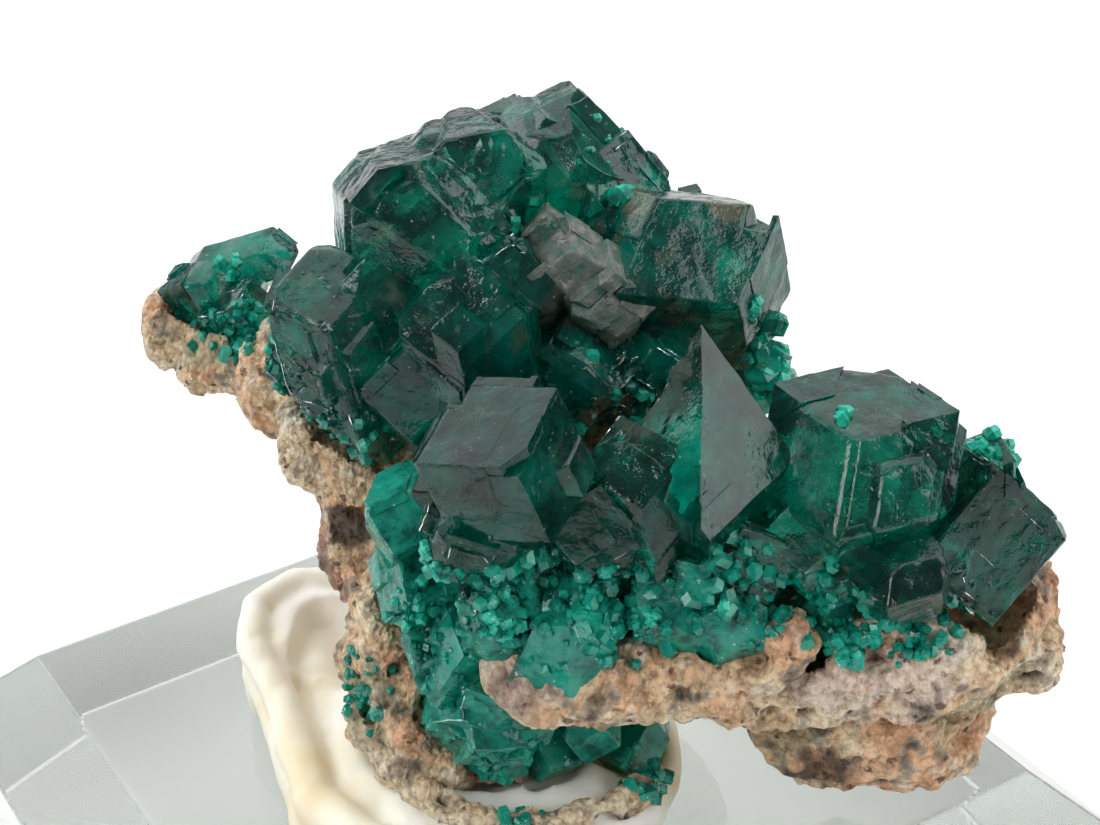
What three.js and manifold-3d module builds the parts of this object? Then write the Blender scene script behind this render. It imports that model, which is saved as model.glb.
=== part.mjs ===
// A dioptase specimen: emerald green crystals on a sugary tan matrix, held by a wad of putty on a clear
// acrylic block. Millimetres, +Z up, origin at the centre of the block's underside, X and Y along its
// sides.
//
// The crystals, the matrix and the putty are placed in the display frame: X to the viewer's right, Y away
// from the viewer, Z up from the shelf. The display group is then turned on the block.

import * as THREE from "three";
import { ConvexGeometry } from "three/addons/geometries/ConvexGeometry.js";
import { mergeVertices } from "three/addons/utils/BufferGeometryUtils.js";
import Module from "manifold-3d";

const wasm = await Module();
wasm.setup();

// Driving dimensions
const BLOCK_SIDE = 32;
const BLOCK_HEIGHT = 12;
const BLOCK_BEVEL = 3;
const DISPLAY_TURN = -30;
const CLEARANCE = 0.3;
const SOLE_GAP = 0.05;

// Crystal habit: angles between the long axis and the normals of the tip faces, in degrees
const TIP_FACES = 51;
const STEEP_TIP_FACES = 60;
const FLAT_TIP_FACES = 40;

const RAD = Math.PI / 180;

// Repeatable random numbers, from 0 to 1
function randomFrom(seed) {
  let state = seed;
  return () => {
    state = (state * 1664525 + 1013904223) % 4294967296;
    return state / 4294967296;
  };
}

// Smooth noise in space, from -1 to 1
function hash(x, y, z) {
  const mixed = Math.sin(x * 127.1 + y * 311.7 + z * 74.7) * 43758.5453;
  return 2 * (mixed - Math.floor(mixed)) - 1;
}

function noise(x, y, z) {
  const [i, j, k] = [x, y, z].map(Math.floor);
  const [u, v, w] = [x - i, y - j, z - k].map((t) => t * t * (3 - 2 * t));
  let sum = 0;
  for (const a of [0, 1])
    for (const b of [0, 1])
      for (const c of [0, 1]) {
        const weight = (a ? u : 1 - u) * (b ? v : 1 - v) * (c ? w : 1 - w);
        sum += weight * hash(i + a, j + b, k + c);
      }
  return sum;
}

// Solids for joining and cutting
function solidOf(geometry) {
  const bare = geometry.clone();
  bare.deleteAttribute("normal");
  bare.deleteAttribute("uv");
  const merged = mergeVertices(bare, 1e-4);
  return new wasm.Manifold(
    new wasm.Mesh({
      numProp: 3,
      vertProperties: merged.attributes.position.array,
      triVerts: new Uint32Array(merged.index.array),
    }),
  );
}

function geometryOf(solid) {
  const mesh = solid.getMesh();
  const geometry = new THREE.BufferGeometry();
  geometry.setAttribute("position", new THREE.BufferAttribute(mesh.vertProperties, 3));
  geometry.setIndex(new THREE.BufferAttribute(mesh.triVerts, 1));
  const flat = geometry.toNonIndexed();
  flat.computeVertexNormals();
  return flat;
}

function joined(solids) {
  return solids.reduce((sum, solid) => sum.add(solid));
}

// The largest of the bodies that a cut leaves
function largest(solid) {
  const bodies = solid.decompose();
  return bodies.reduce((best, body) => (body.volume() > best.volume() ? body : best));
}

// The corners of the space inside a set of planes, each [normal, distance from the origin]
function cornersInside(planes) {
  const corners = [];
  const inside = (p) => planes.every(([n, d]) => n.dot(p) < d + 1e-6);
  planes.forEach(([na, da], a) =>
    planes.slice(a + 1).forEach(([nb, db], b) =>
      planes.slice(a + b + 2).forEach(([nc, dc]) => {
        const bc = nb.clone().cross(nc);
        const volume = na.dot(bc);
        if (Math.abs(volume) < 1e-6) return;
        const point = bc.multiplyScalar(da);
        point.addScaledVector(nc.clone().cross(na), db);
        point.addScaledVector(na.clone().cross(nb), dc);
        point.divideScalar(volume);
        if (inside(point) && !corners.some((c) => c.distanceTo(point) < 1e-4)) corners.push(point);
      }),
    ),
  );
  return corners;
}

// One dioptase crystal: a six-sided prism with three tip faces, each centred on every other prism edge.
// tip is the point where the tip faces meet, axis points out of it, width is measured across the prism's
// corners, and grow moves every face out.
function crystal({ tip, axis, width, length, twist = 0, faces = TIP_FACES, grow = 0 }) {
  const radius = width / 2;
  const turn = new THREE.Quaternion().setFromUnitVectors(
    new THREE.Vector3(0, 0, 1),
    new THREE.Vector3(...axis).normalize(),
  );
  const planes = [];
  for (let k = 0; k < 6; k++) {
    const angle = (30 + 60 * k + twist) * RAD;
    const distance = radius * Math.cos(30 * RAD) + grow;
    planes.push([new THREE.Vector3(Math.cos(angle), Math.sin(angle), 0), distance]);
  }
  for (const [end, offset] of [[1, 0], [-1, 60]])
    for (let k = 0; k < 3; k++) {
      const angle = (120 * k + offset + twist) * RAD;
      const normal = new THREE.Vector3(
        Math.sin(faces * RAD) * Math.cos(angle),
        Math.sin(faces * RAD) * Math.sin(angle),
        Math.cos(faces * RAD) * end,
      );
      const height = end > 0 ? 0 : length;
      planes.push([normal, height * Math.cos(faces * RAD) + grow]);
    }
  const corners = cornersInside(planes).map((p) =>
    p.applyQuaternion(turn).add(new THREE.Vector3(...tip)),
  );
  return solidOf(new ConvexGeometry(corners));
}

// A crystal and the smaller ones grown in parallel on its sides, which leave ledges and steps
function withLedges({ ledges = 0, seed, ...main }) {
  const random = randomFrom(seed);
  const all = [main];
  const axis = new THREE.Vector3(...main.axis).normalize();
  const turn = new THREE.Quaternion().setFromUnitVectors(new THREE.Vector3(0, 0, 1), axis);
  for (let i = 0; i < ledges; i++) {
    const angle = random() * 360 * RAD;
    const out = main.width * (0.2 + 0.14 * random());
    const down = main.width * (0.3 + 0.5 * random());
    const place = new THREE.Vector3(Math.cos(angle) * out, Math.sin(angle) * out, -down);
    place.applyQuaternion(turn).add(new THREE.Vector3(...main.tip));
    all.push({
      ...main,
      tip: place.toArray(),
      width: main.width * (0.45 + 0.2 * random()),
      length: Math.max(main.length - down, main.width) * (0.5 + 0.3 * random()),
    });
  }
  return all;
}

// A run of small crystals from one place to another, each pointing roughly along axis
function druse({ from, to, axis, count, width, spread, seed }) {
  const random = randomFrom(seed);
  const jitter = (size) => size * (2 * random() - 1);
  const all = [];
  for (let i = 0; i < count; i++) {
    const t = (i + 0.5) / count;
    const size = width * (0.75 + 0.5 * random());
    all.push({
      tip: from.map((a, k) => a + (to[k] - a) * t + jitter(spread)),
      axis: axis.map((a) => a + jitter(0.55)),
      width: size,
      length: size * (1.4 + 0.4 * random()),
      twist: 120 * random(),
    });
  }
  return all;
}

// A rough lump of rock or putty; square is 1 for an egg and less for a boxier form
function lump({ at, size, rough = 0.5, scale = 0.6, square = 0.6, detail = 3 }) {
  const geometry = new THREE.IcosahedronGeometry(1, detail);
  const place = geometry.attributes.position;
  for (let i = 0; i < place.count; i++) {
    const unit = new THREE.Vector3().fromBufferAttribute(place, i);
    const power = 2 / square;
    const boxy = unit.toArray().reduce((sum, c) => sum + Math.abs(c) ** power, 0) ** (-1 / power);
    const point = unit.clone().multiplyScalar(boxy).multiply(new THREE.Vector3(...size).divideScalar(2));
    point.add(new THREE.Vector3(...at));
    const [x, y, z] = point.toArray().map((c) => c * scale);
    const bump = noise(x, y, z) + 0.6 * noise(2.3 * x + 7, 2.3 * y, 2.3 * z);
    point.addScaledVector(unit, rough * bump);
    place.setXYZ(i, point.x, point.y, point.z);
  }
  return solidOf(geometry);
}

// The crystals of the upper cluster, from left to right
const UPPER = [
  { tip: [-6.3, -0.4, 28.8], axis: [-0.4, -0.25, 0.88], width: 3.4, length: 6, twist: 10 },
  { tip: [-6.2, 1.6, 29.6], axis: [-0.4, 0.3, 0.85], width: 3.2, length: 6, twist: 50 },
  {
    tip: [-4.9, 0.6, 30.9],
    axis: [-0.2, 0.3, 0.93],
    width: 4.6,
    length: 8,
    twist: 26,
    ledges: 4,
    seed: 11,
  },
  { tip: [-4.4, -1.6, 28.8], axis: [-0.15, -0.25, 0.95], width: 3.6, length: 5.6, twist: 30 },
  { tip: [-2.9, -0.9, 31.2], axis: [0.07, -0.34, 0.94], width: 3.2, length: 8, twist: 41 },
  {
    tip: [-1.1, 0, 34.4],
    axis: [0.07, -0.34, 0.94],
    width: 6.4,
    length: 11,
    twist: 41,
    ledges: 3,
    seed: 4,
  },
  { tip: [0.5, 1.2, 34.2], axis: [0.15, -0.3, 0.94], width: 4.6, length: 10, twist: 36 },
  { tip: [-0.7, -2.8, 31.8], axis: [0.07, -0.34, 0.94], width: 4.2, length: 7, twist: 41 },
  { tip: [1.4, -1.6, 31.4], axis: [0.2, -0.34, 0.92], width: 4.0, length: 7, twist: 30 },
  { tip: [-2.2, -3, 28.6], axis: [-0.1, -0.5, 0.86], width: 4.0, length: 5, twist: 20 },
  { tip: [1.3, 5.5, 33.0], axis: [-0.1, 0.1, 1], width: 4.2, length: 8, twist: 10 },
  { tip: [-2, 4.4, 31.2], axis: [-0.3, 0.4, 0.9], width: 4.4, length: 6, twist: 30 },
  {
    tip: [3.2, 3.2, 34.1],
    axis: [0.1, -0.2, 0.97],
    width: 5.0,
    length: 9,
    twist: 28,
    ledges: 4,
    seed: 5,
  },
  { tip: [5.2, 3.4, 32.8], axis: [0.3, 0, 0.95], width: 4.2, length: 7, twist: 40, ledges: 3, seed: 9 },
  {
    tip: [10.3, 1.2, 27.7],
    axis: [0.97, 0.1, -0.2],
    width: 5.8,
    length: 7.6,
    twist: 36,
    faces: FLAT_TIP_FACES,
  },
  { tip: [7.4, 4, 30.4], axis: [0.4, 0.5, 0.8], width: 4.4, length: 6, twist: 15 },
  { tip: [4.2, -1, 30.2], axis: [0.05, -0.5, 0.86], width: 5.4, length: 7, twist: 30 },
  { tip: [2.4, -3.2, 28.6], axis: [-0.2, -0.6, 0.75], width: 4.0, length: 5, twist: 10 },
  { tip: [5.6, -2.6, 28.0], axis: [0.2, -0.6, 0.75], width: 3.8, length: 5, twist: 50 },
  { tip: [9.9, -0.2, 25.8], axis: [0.6, -0.4, 0.7], width: 2.2, length: 4, twist: 10 },
];

// The large crystals of the front cluster, from left to right
const FRONT = [
  {
    tip: [1.1, -11.3, 29.1],
    axis: [0.1, -0.87, 0.47],
    width: 5.2,
    length: 7,
    twist: 119,
    ledges: 2,
    seed: 8,
  },
  { tip: [-1.2, -10, 26.4], axis: [-0.5, -0.7, 0.5], width: 3.8, length: 6, twist: 20 },
  {
    tip: [6.7, -6.5, 30.8],
    axis: [0.01, 0.3, 0.95],
    width: 6.2,
    length: 8,
    twist: 27,
    faces: STEEP_TIP_FACES,
    ledges: 4,
    seed: 23,
  },
  { tip: [4.2, -7.4, 28.4], axis: [-0.2, 0.1, 0.97], width: 3.6, length: 6, twist: 27 },
  { tip: [3.5, -9, 27.0], axis: [0, -0.4, 0.9], width: 3.6, length: 4.6, twist: 15 },
  { tip: [7.6, -9.2, 25.4], axis: [-0.1, -0.5, 0.8], width: 3.4, length: 4, twist: 45 },
  {
    tip: [12.1, -5, 28.4],
    axis: [0.22, 0.51, 0.83],
    width: 6.2,
    length: 7,
    twist: 12,
    faces: FLAT_TIP_FACES,
    ledges: 3,
    seed: 31,
  },
  { tip: [9.6, -8.6, 26.4], axis: [-0.2, -0.3, 0.9], width: 4.0, length: 5, twist: 20 },
  {
    tip: [15.3, -8, 26.2],
    axis: [0.25, -0.35, 0.9],
    width: 6,
    length: 6,
    twist: 69,
    ledges: 2,
    seed: 3,
  },
  { tip: [16.4, -3, 24.6], axis: [0.3, 0.2, 0.93], width: 3.4, length: 5, twist: 0 },
];

// Runs of small crystals that line the bowl under the front cluster: down its left side, down its
// middle, along its foot, under the front crystals and along the top of the ledge
const BOWL = [
  {
    from: [-2.9, -7.0, 24.2],
    to: [-1.8, -8.6, 16.8],
    axis: [-0.5, -0.8, 0.2],
    count: 6,
    width: 3.2,
    spread: 0.4,
    seed: 2,
  },
  {
    from: [-1.2, -8.8, 22.8],
    to: [-0.9, -9.0, 17],
    axis: [-0.1, -0.9, 0.2],
    count: 5,
    width: 3.4,
    spread: 0.3,
    seed: 7,
  },
  {
    from: [-0.6, -8.6, 15.8],
    to: [4.6, -6.6, 14.6],
    axis: [0, -0.8, -0.1],
    count: 4,
    width: 2.8,
    spread: 0.3,
    seed: 9,
  },
  {
    from: [-0.6, -9.2, 24.4],
    to: [8, -9.6, 23.8],
    axis: [0, -0.5, 0.8],
    count: 7,
    width: 2.5,
    spread: 0.6,
    seed: 12,
  },
  {
    from: [2.4, -9.4, 22.4],
    to: [14.8, -8.4, 22.2],
    axis: [0, -0.6, 0.7],
    count: 7,
    width: 2.6,
    spread: 0.5,
    seed: 6,
  },
];

// The crystals of the small cluster at the far left
const LEFT = [
  { tip: [-11.4, 6.5, 26.2], axis: [-0.97, -0.2, 0.15], width: 2.4, length: 3, twist: 20 },
  { tip: [-9.8, 7.0, 27.0], axis: [-0.3, 0.1, 0.9], width: 2.2, length: 3, twist: 30 },
  { tip: [-6.4, 8.0, 26.9], axis: [0.95, 0.1, 0.2], width: 2.2, length: 4.6, twist: 0 },
  { tip: [-8.7, 4.8, 26.3], axis: [-0.1, -0.8, 0.6], width: 3.0, length: 4, twist: 0 },
];

// The lumps that the rock is made of, and the holes in it
const ROCK = [
  { at: [-1, -3.2, 16.2], size: [7.6, 8.6, 5], detail: 2 },
  { at: [-3.5, -2.4, 17.4], size: [3.0, 7, 6.6], detail: 2 },
  { at: [-3.9, 0.4, 20.8], size: [3.6, 5.4, 7.4], detail: 2 },
  { at: [-5.1, 1.2, 23.3], size: [3.4, 4.4, 3.6], detail: 2 },
  { at: [1.6, 1.2, 20.4], size: [12.6, 7.4, 10.6], detail: 2 },
  { at: [1.6, 4.4, 24], size: [12, 5, 9], detail: 2 },
  { at: [-6.3, 4.6, 23.6], size: [4.6, 4, 3.2], detail: 2 },
  { at: [-8.8, 5.9, 24], size: [3.8, 2.8, 2.4], rough: 0.3, detail: 2 },
  { at: [-10.7, 6.7, 24.6], size: [2.2, 2.2, 2.2], rough: 0.3, detail: 2 },
  { at: [4.6, -5.6, 20], size: [9, 8.6, 3.8], detail: 2 },
  { at: [10.4, -6.2, 19.6], size: [11, 7.6, 3.8] },
  { at: [12, -6.4, 17], size: [7.4, 5.6, 5.6], square: 0.8 },
  { at: [15.6, -5.8, 19.4], size: [4.8, 5.6, 4.4], detail: 2 },
];
const HOLES = [
  { at: [-4.6, -2.9, 21.6], size: [2.2, 2.2, 1.6], detail: 2, rough: 0.2 },
  { at: [15.6, -9.4, 20.4], size: [1.2, 2, 1], detail: 2, rough: 0.2 },
];

// The lumps that the putty is made of, and the hollow behind its curled rim
const PUTTY = [
  { at: [-0.6, -2.6, 12.4], size: [13, 13, 4], rough: 0.3, scale: 0.4, detail: 2 },
  { at: [0, -6, 13], size: [9, 6.4, 3.4], rough: 0.3, scale: 0.4, detail: 2 },
  { at: [-7.1, 2.3, 12.8], size: [4.6, 6, 4.2], rough: 0.25, scale: 0.4, detail: 2 },
];
const HOLLOW = [{ at: [-5.8, 1, 15.2], size: [3.4, 5, 3.4], rough: 0.1, detail: 2 }];

// The clear block with its bevelled top
function block() {
  const half = BLOCK_SIDE / 2;
  const rings = [
    [half, 0],
    [half, BLOCK_HEIGHT - BLOCK_BEVEL],
    [half - BLOCK_BEVEL, BLOCK_HEIGHT],
  ];
  const corners = rings.flatMap(([side, z]) =>
    [[1, 1], [1, -1], [-1, 1], [-1, -1]].map(([x, y]) => new THREE.Vector3(x * side, y * side, z)),
  );
  return solidOf(new ConvexGeometry(corners));
}

// Putting it together
const crystalsOf = (list, grow = 0) => joined(list.map((spec) => crystal({ ...spec, grow })));
const lumpsOf = (list, grow = 0) =>
  joined(list.map((spec) => lump({ ...spec, size: spec.size.map((side) => side + 2 * grow) })));

const upperSpecs = UPPER.flatMap(withLedges);
const frontSpecs = [...FRONT.flatMap(withLedges), ...BOWL.flatMap(druse)];
const upper = crystalsOf(upperSpecs);
const front = largest(crystalsOf(frontSpecs).subtract(crystalsOf(upperSpecs, CLEARANCE)));
const left = crystalsOf(LEFT);
const rock = largest(
  lumpsOf(ROCK)
    .subtract(lumpsOf(HOLES))
    .subtract(crystalsOf(upperSpecs, CLEARANCE))
    .subtract(crystalsOf(frontSpecs, CLEARANCE))
    .subtract(crystalsOf(LEFT, CLEARANCE)),
);
const under = solidOf(new THREE.BoxGeometry(60, 60, 20).translate(0, 0, BLOCK_HEIGHT + SOLE_GAP - 10));
const putty = largest(
  lumpsOf(PUTTY)
    .subtract(under)
    .subtract(lumpsOf(HOLLOW))
    .subtract(lumpsOf(ROCK, CLEARANCE))
    .subtract(crystalsOf(frontSpecs, CLEARANCE)),
);

const look = (color, roughness) => new THREE.MeshStandardMaterial({ color, roughness, metalness: 0 });

function piece(name, solid, material) {
  const mesh = new THREE.Mesh(geometryOf(solid), material);
  mesh.name = name;
  return mesh;
}

const display = new THREE.Group();
display.rotation.z = DISPLAY_TURN * RAD;
display.add(
  piece("upper_crystals", upper, look(0x0b4a40, 0.25)),
  piece("front_crystals", front, look(0x114f47, 0.25)),
  piece("left_crystals", left, look(0x0f5548, 0.3)),
  piece("matrix", rock, look(0xb98d6b, 0.9)),
  piece("putty", putty, look(0xe6dcc0, 0.7)),
);

const dioptase = new THREE.Group();
dioptase.add(piece("acrylic_base", block(), look(0xeef4f1, 0.05)), display);

export default dioptase;
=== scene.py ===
"""A dioptase specimen: fine crystals, sugary matrix, putty and a clear block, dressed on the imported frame."""

import itertools
import math
import random

import bmesh
import bpy
import numpy as np
from mathutils import Matrix, Quaternion, Vector, noise


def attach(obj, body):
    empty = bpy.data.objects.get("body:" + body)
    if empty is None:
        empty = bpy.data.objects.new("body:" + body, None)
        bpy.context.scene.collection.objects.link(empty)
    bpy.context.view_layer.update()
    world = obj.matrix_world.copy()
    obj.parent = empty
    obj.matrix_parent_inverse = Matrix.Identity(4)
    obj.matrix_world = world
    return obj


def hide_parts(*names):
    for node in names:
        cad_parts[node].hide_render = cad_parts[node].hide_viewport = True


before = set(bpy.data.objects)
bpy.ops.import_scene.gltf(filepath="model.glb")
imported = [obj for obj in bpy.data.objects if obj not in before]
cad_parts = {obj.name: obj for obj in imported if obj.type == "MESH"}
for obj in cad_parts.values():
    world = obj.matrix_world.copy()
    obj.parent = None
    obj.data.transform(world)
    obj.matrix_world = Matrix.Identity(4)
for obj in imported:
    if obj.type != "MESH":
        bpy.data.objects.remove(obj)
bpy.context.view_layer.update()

MM = 0.001
TIP_FACES = 51
STEEP = 60
FLAT = 40

# From the display frame, in millimetres, to the row frame, in metres
PLACE = Matrix.Rotation(math.radians(-30), 4, "Z") @ Matrix.Scale(MM, 4)


# ---------------------------------------------------------------- crystals
UPPER = [
    dict(tip=(-6.3, -0.4, 28.8), axis=(-0.4, -0.25, 0.88), width=3.4, length=6, twist=10),
    dict(tip=(-6.2, 1.6, 29.6), axis=(-0.4, 0.3, 0.85), width=3.2, length=6, twist=50),
    dict(tip=(-4.9, 0.6, 30.9), axis=(-0.2, 0.3, 0.93), width=4.6, length=8, twist=26, ledges=4, seed=11),
    dict(tip=(-4.4, -1.6, 28.8), axis=(-0.15, -0.25, 0.95), width=3.6, length=5.6, twist=30),
    dict(tip=(-2.9, -0.9, 31.2), axis=(0.07, -0.34, 0.94), width=3.2, length=8, twist=41),
    dict(tip=(-1.0, -0.2, 35.3), axis=(0.07, -0.34, 0.94), width=6.4, length=12, twist=41, ledges=3, seed=4,
         facets=[((-0.12, 0.2, 0.97), 1.5), ((0.6, -0.45, 0.66), 1.3)]),
    dict(tip=(0.3, 1.3, 34.8), axis=(0.07, -0.24, 0.96), width=5.0, length=10, twist=41,
         facets=[((-0.08, 0.1, 0.99), 0.9)]),
    dict(tip=(-0.4, -2.8, 31.5), axis=(-0.1, -0.2, 0.97), width=4.6, length=7, twist=20),
    dict(tip=(1.4, -1.6, 31.4), axis=(0.2, -0.34, 0.92), width=4.0, length=7, twist=30),
    dict(tip=(-2.2, -3, 28.6), axis=(-0.1, -0.5, 0.86), width=4.0, length=5, twist=20),
    dict(tip=(1.3, 5.5, 33.7), axis=(-0.1, 0.1, 1), width=4.4, length=8, twist=10, facets=[((-0.1, -0.15, 0.98), 0.8)]),
    dict(tip=(-2, 4.4, 31.2), axis=(-0.3, 0.4, 0.9), width=4.4, length=6, twist=30),
    dict(tip=(3.2, 3.1, 34.9), axis=(0.1, -0.2, 0.97), width=5.2, length=10, twist=28, ledges=3, seed=5,
         facets=[((0, 0.1, 1), 1.0), ((0.62, -0.3, 0.72), 1.1), ((-0.6, -0.3, 0.74), 0.6)]),
    dict(tip=(5.2, 3.4, 32.8), axis=(0.3, 0, 0.95), width=4.2, length=7, twist=40, ledges=3, seed=9),
    dict(tip=(10.3, 1.2, 27.7), axis=(0.97, 0.1, -0.2), width=6.2, length=7.8, twist=22, faces=FLAT),
    dict(tip=(7.4, 4, 30.4), axis=(0.4, 0.5, 0.8), width=4.4, length=6, twist=15),
    dict(tip=(4.2, -1, 30.2), axis=(0.05, -0.5, 0.86), width=5.4, length=7, twist=30),
    dict(tip=(2.4, -3.2, 28.6), axis=(-0.2, -0.6, 0.75), width=4.0, length=5, twist=10),
    dict(tip=(5.6, -2.6, 28.0), axis=(0.2, -0.6, 0.75), width=3.8, length=5, twist=50),
    dict(tip=(9.9, -0.2, 25.8), axis=(0.6, -0.4, 0.7), width=2.2, length=4, twist=10),
]

FRONT = [
    dict(tip=(1.1, -11.3, 29.1), axis=(0.1, -0.87, 0.47), width=5.2, length=7, twist=119, ledges=2, seed=8),
    dict(tip=(-1.2, -10, 26.4), axis=(-0.5, -0.7, 0.5), width=3.8, length=6, twist=20),
    dict(
        tip=(6.7, -6.5, 30.8), axis=(0.01, 0.3, 0.95), width=6.2, length=8, twist=27, faces=STEEP, cuts=2, near=0,
        facets=[((0.51, -0.66, 0.55), 0.1), ((-0.62, -0.55, 0.56), 0.1)],
    ),
    dict(tip=(4.2, -7.4, 28.4), axis=(-0.2, 0.1, 0.97), width=3.6, length=6, twist=27),
    dict(tip=(3.5, -9, 27.0), axis=(0, -0.4, 0.9), width=3.6, length=4.6, twist=15),
    dict(tip=(7.6, -9.2, 25.4), axis=(-0.1, -0.5, 0.8), width=3.4, length=4, twist=45),
    dict(tip=(12.1, -5, 28.4), axis=(0.22, 0.51, 0.83), width=6.2, length=7, twist=12, faces=FLAT, ledges=3, seed=31),
    dict(tip=(9.6, -8.6, 26.4), axis=(-0.2, -0.3, 0.9), width=4.0, length=5, twist=20),
    dict(tip=(15.3, -8, 26.2), axis=(0.25, -0.35, 0.9), width=6, length=6, twist=50, near=1,
         facets=[((0.87, -0.2, 0.45), -0.6), ((0.9, -0.35, -0.1), -2.2), ((0.1, -0.95, 0.3), -1.9)]),
    dict(tip=(16.4, -3, 24.6), axis=(0.3, 0.2, 0.93), width=3.4, length=5, twist=0),
]

# Runs of small crystals: start, end, direction, number, width, spread, seed
BOWL = [
    ((-2.9, -7.0, 24.2), (-1.8, -8.6, 16.8), (-0.5, -0.8, 0.2), 6, 3.2, 0.4, 2),
    ((-1.2, -8.8, 22.8), (-0.9, -9.0, 17), (-0.1, -0.9, 0.2), 5, 3.4, 0.3, 7),
    ((-0.6, -8.6, 15.8), (4.6, -6.6, 14.6), (0, -0.8, -0.1), 4, 2.8, 0.3, 9),
    ((-0.6, -9.2, 24.4), (8, -9.6, 23.8), (0, -0.5, 0.8), 7, 2.5, 0.6, 12),
    ((2.8, -8.9, 22.8), (14.8, -8.4, 22.2), (0, -0.6, 0.7), 7, 2.1, 0.4, 6),
]

LEFT = [
    dict(tip=(-11.4, 6.5, 26.2), axis=(-0.97, -0.2, 0.15), width=2.4, length=3, twist=20),
    dict(tip=(-9.8, 7.0, 27.0), axis=(-0.3, 0.1, 0.9), width=2.2, length=3, twist=30),
    dict(tip=(-6.4, 8.0, 26.9), axis=(0.95, 0.1, 0.2), width=2.2, length=4.6, twist=0),
    dict(tip=(-8.7, 4.8, 26.3), axis=(-0.1, -0.8, 0.6), width=3.0, length=4, twist=0),
]


# Dull grey faces between the large upper crystals
DULL = [
    dict(tip=(3.0, -1.6, 31.2), axis=(0.1, -0.62, 0.78), width=3.0, length=4.4, twist=36, faces=FLAT),
    dict(tip=(4.4, -2.1, 30.3), axis=(0.1, -0.62, 0.78), width=3.2, length=4.0, twist=36, faces=FLAT),
    dict(tip=(2.4, -0.3, 31.6), axis=(0.02, -0.5, 0.86), width=2.0, length=4.0, twist=28),
]


def repeatable(seed):
    """Random numbers from 0 to 1, the same as the solids use."""
    state = seed
    while True:
        state = (state * 1664525 + 1013904223) % 4294967296
        yield state / 4294967296


def turned(axis):
    return Vector((0, 0, 1)).rotation_difference(Vector(axis).normalized())


def with_ledges(spec):
    main = {k: v for k, v in spec.items() if k not in ("ledges", "seed")}
    draw = repeatable(spec.get("seed", 1))
    made = [main]
    for _ in range(spec.get("ledges", 0)):
        angle = next(draw) * 2 * math.pi
        out = main["width"] * (0.2 + 0.14 * next(draw))
        down = main["width"] * (0.3 + 0.5 * next(draw))
        place = turned(main["axis"]) @ Vector((math.cos(angle) * out, math.sin(angle) * out, -down))
        width = main["width"] * (0.45 + 0.2 * next(draw))
        length = max(main["length"] - down, main["width"]) * (0.5 + 0.3 * next(draw))
        tip = tuple(place + Vector(main["tip"]))
        made.append({**main, "root": main["tip"], "tip": tip, "width": width, "length": length})
    return made


def companions(spec, draw):
    """Crystals in line with a large one, a little lower, which leave steps at its corners."""
    made = []
    if spec["width"] < 3.5:
        return made
    turn = turned(spec["axis"])
    for _ in range(spec.get("near", 2)):
        share = draw.uniform(0.4, 0.75)
        angle = math.radians(60 * draw.randrange(6)) + math.radians(spec.get("twist", 0)) + draw.uniform(-0.3, 0.3)
        out = spec["width"] * ((1 - share) * 0.45 + draw.uniform(0.02, 0.07))
        down = out * draw.uniform(0.5, 1.15)
        at = Vector(spec["tip"]) + turn @ Vector((math.cos(angle) * out, math.sin(angle) * out, -down))
        length = max((spec["length"] - down) * 0.8, spec["width"] * 0.5)
        twist = spec.get("twist", 0) + draw.uniform(-3, 3)
        smaller = dict(tip=tuple(at), width=spec["width"] * share, length=length, twist=twist)
        made.append({**spec, "root": spec.get("root", spec["tip"]), **smaller})
    return made


def run_of(start, end, axis, count, width, spread, seed):
    draw = repeatable(seed)
    jitter = lambda size: size * (2 * next(draw) - 1)
    made = []
    for i in range(count):
        t = (i + 0.5) / count
        size = width * (0.75 + 0.5 * next(draw))
        tip = tuple(a + (b - a) * t + jitter(spread) for a, b in zip(start, end))
        leaning = tuple(a + jitter(0.55) for a in axis)
        length = size * (1.4 + 0.4 * next(draw))
        made.append(dict(tip=tip, axis=leaning, width=size, length=length, twist=120 * next(draw)))
    return made


def planes_of(spec):
    """Normals and distances of a crystal's faces, in the display frame."""
    radius = spec["width"] / 2
    faces = math.radians(spec.get("faces", TIP_FACES))
    twist = math.radians(spec.get("twist", 0))
    turn = turned(spec["axis"])
    tip = Vector(spec["tip"])
    normals, distances = [], []
    for k in range(6):
        angle = math.radians(30 + 60 * k) + twist
        normals.append(turn @ Vector((math.cos(angle), math.sin(angle), 0)))
        distances.append(radius * math.cos(math.radians(30)))
    for end, offset in ((1, 0), (-1, 60)):
        for k in range(3):
            angle = math.radians(120 * k + offset) + twist
            flat = math.sin(faces)
            normal = Vector((flat * math.cos(angle), flat * math.sin(angle), math.cos(faces) * end))
            normals.append(turn @ normal)
            distances.append(0 if end > 0 else spec["length"] * math.cos(faces))
    normals = np.array(normals)
    distances = np.array(distances) + normals @ np.array(tip)
    for normal, below in spec.get("facets", []):
        normal = np.array(Vector(normal).normalized())
        step = 0.14 if "root" in spec else 0
        normals = np.vstack([normals, normal])
        distances = np.append(distances, np.array(spec.get("root", spec["tip"])) @ normal - below - step)
    return normals, distances


def corners_inside(normals, distances):
    """The corners of the space inside the planes."""
    triples = np.array(list(itertools.combinations(range(len(normals)), 3)))
    sets = normals[triples]
    good = np.abs(np.linalg.det(sets)) > 1e-5
    points = np.linalg.solve(sets[good], distances[triples[good]][..., None])[..., 0]
    points = points[((points @ normals.T) <= distances + 1e-5).all(axis=1)]
    return np.unique(points.round(4), axis=0)


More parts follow.
